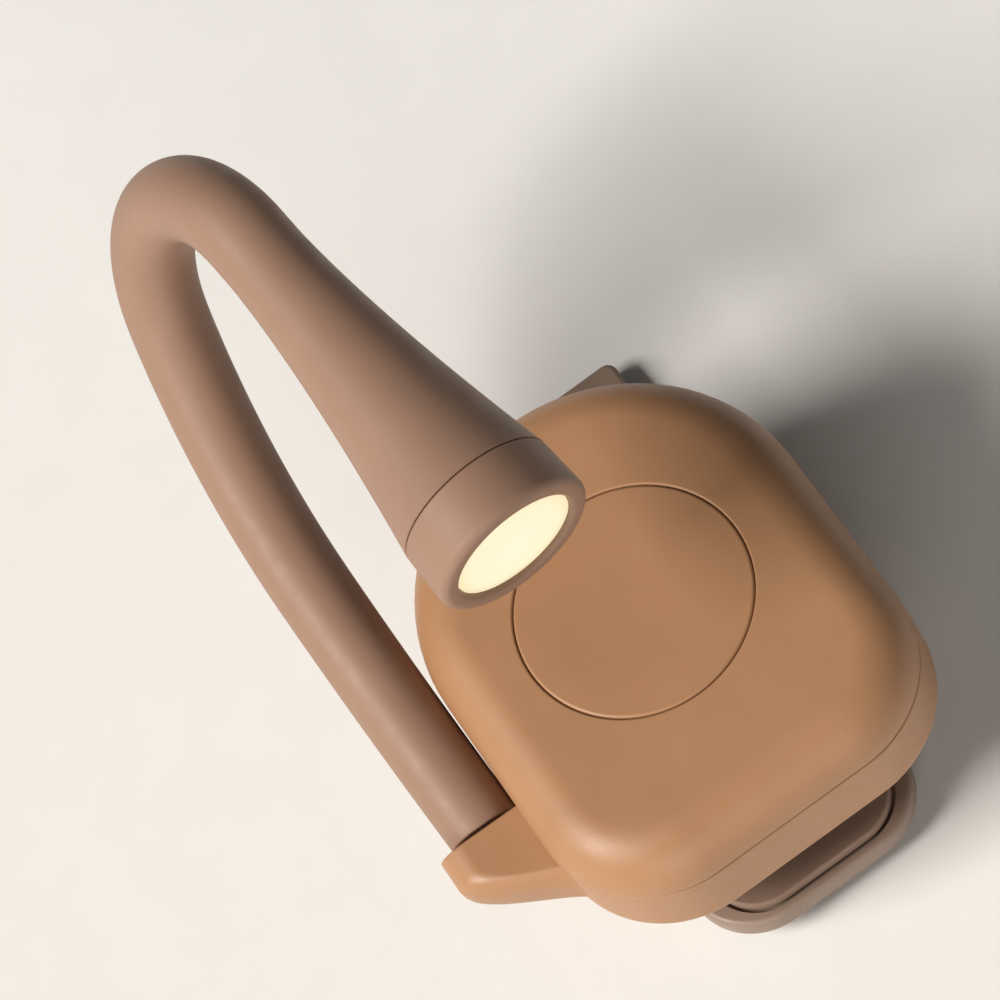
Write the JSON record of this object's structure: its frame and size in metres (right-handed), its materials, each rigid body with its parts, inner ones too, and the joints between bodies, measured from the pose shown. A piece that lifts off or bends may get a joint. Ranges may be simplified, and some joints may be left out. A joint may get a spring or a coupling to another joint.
{
  "type": "clip-on reading light",
  "caption": "Clip-on reading light: pebble-shaped battery housing with a press key, sprung rear jaw, bendable neck and a flared lamp head with a round lens.",
  "frame": {"origin": "centre of the front jaw pad's grip face, which lies on the page", "axes": "the page lies in the XY plane under the housing; +X across the housing, towards the side without the neck; +Y from the jaw's tip to the handle; +Z out of the page, out of the housing's face"},
  "size_m": [0.0422, 0.0679, 0.054],
  "materials": {
    "housing": "matte",
    "neck_silicone": "matte",
    "grip_pad": "matte",
    "steel": "satin",
    "spring_steel": "satin",
    "core_wire": "satin",
    "circuit_board": "satin",
    "black_plastic": "matte",
    "cell_foil": "satin",
    "reflector_metal": "polished",
    "lens_plastic": "gloss",
    "warm_led": "satin",
    "cool_led": "satin"
  },
  "bodies": {
    "housing": {"front_shell": "housing", "base_shell": "housing", "front_jaw_pad": "grip_pad", "hinge_pin": "steel", "torsion_spring": "spring_steel", "battery_cell": "cell_foil", "main_board": "circuit_board", "charge_chip": "black_plastic", "driver_coil": "black_plastic", "tact_switch": "steel", "charging_socket": "steel", "housing_screw_1": "steel", "housing_screw_2": "steel", "housing_screw_3": "steel", "neck_collar": "neck_silicone", "collar_core": "core_wire"},
    "power_key": {"power_key": "housing", "switch_plunger": "black_plastic"},
    "rear_lever": {"rear_lever": "housing", "rear_jaw_pad": "grip_pad"},
    "neck_1": {"neck_sleeve_1": "neck_silicone", "neck_core_1": "core_wire"},
    "neck_2": {"neck_sleeve_2": "neck_silicone", "neck_core_2": "core_wire"},
    "neck_3": {"neck_sleeve_3": "neck_silicone", "neck_core_3": "core_wire"},
    "neck_4": {"neck_sleeve_4": "neck_silicone", "neck_core_4": "core_wire"},
    "neck_5": {"neck_sleeve_5": "neck_silicone", "neck_core_5": "core_wire"},
    "neck_6": {"neck_sleeve_6": "neck_silicone", "neck_core_6": "core_wire"},
    "neck_7": {"neck_sleeve_7": "neck_silicone", "neck_core_7": "core_wire"},
    "head": {"head_sleeve": "neck_silicone", "head_cup": "black_plastic", "head_ferrule": "steel", "head_core": "core_wire", "led_board": "circuit_board", "led_warm": "warm_led", "led_cool": "cool_led", "reflector": "reflector_metal", "lens": "lens_plastic", "bezel_ring": "neck_silicone"}
  },
  "joints": [
    {"name": "key_press", "type": "slide", "parent": "housing", "child": "power_key", "axis": [0, 0, -1], "range_m": [0, 0.0005], "stiffness_N_per_m": 800, "springref_m": -0.0005},
    {"name": "jaw_hinge", "type": "hinge", "parent": "housing", "child": "rear_lever", "pos_m": [0, 0.0145, -0.0025], "axis": [1, 0, 0], "range_deg": [-12, 20], "stiffness_Nm_per_rad": 0.06, "springref_deg": -45.84, "deforming": ["torsion_spring"]},
    {"name": "neck_bend_1", "type": "hinge", "parent": "housing", "child": "neck_1", "pos_m": [-0.02085, 0.01223, 0.00574], "axis": [0.8781, 0.1254, -0.4617], "range_deg": [-25, 3]},
    {"name": "neck_sway_2", "type": "hinge", "parent": "neck_1", "child": "neck_2", "pos_m": [-0.02071, 0.02205, 0.00867], "axis": [-0.4782, 0.2571, -0.8398], "range_deg": [-20, 11]},
    {"name": "neck_bend_3", "type": "hinge", "parent": "neck_2", "child": "neck_3", "pos_m": [-0.02057, 0.03187, 0.0116], "axis": [0.8781, 0.1254, -0.4617], "range_deg": [-25, 8]},
    {"name": "neck_sway_4", "type": "hinge", "parent": "neck_3", "child": "neck_4", "pos_m": [-0.01992, 0.04133, 0.01541], "axis": [-0.4652, 0.4488, -0.763], "range_deg": [-20, 16]},
    {"name": "neck_bend_5", "type": "hinge", "parent": "neck_4", "child": "neck_5", "pos_m": [-0.0183, 0.04987, 0.02081], "axis": [0.8781, 0.1254, -0.4617], "range_deg": [-25, 8]},
    {"name": "neck_sway_6", "type": "hinge", "parent": "neck_5", "child": "neck_6", "pos_m": [-0.01541, 0.05624, 0.02804], "axis": [-0.2407, 0.9498, -0.1999], "range_deg": [-20, 16]},
    {"name": "neck_bend_7", "type": "hinge", "parent": "neck_6", "child": "neck_7", "pos_m": [-0.01069, 0.05443, 0.03651], "axis": [0.8781, 0.1254, -0.4617], "range_deg": [-20, 6]},
    {"name": "head_sway_8", "type": "hinge", "parent": "neck_7", "child": "head", "pos_m": [-0.0078, 0.04553, 0.03961], "axis": [0.4704, -0.0505, 0.881], "range_deg": [-20, 16]}
  ]
}
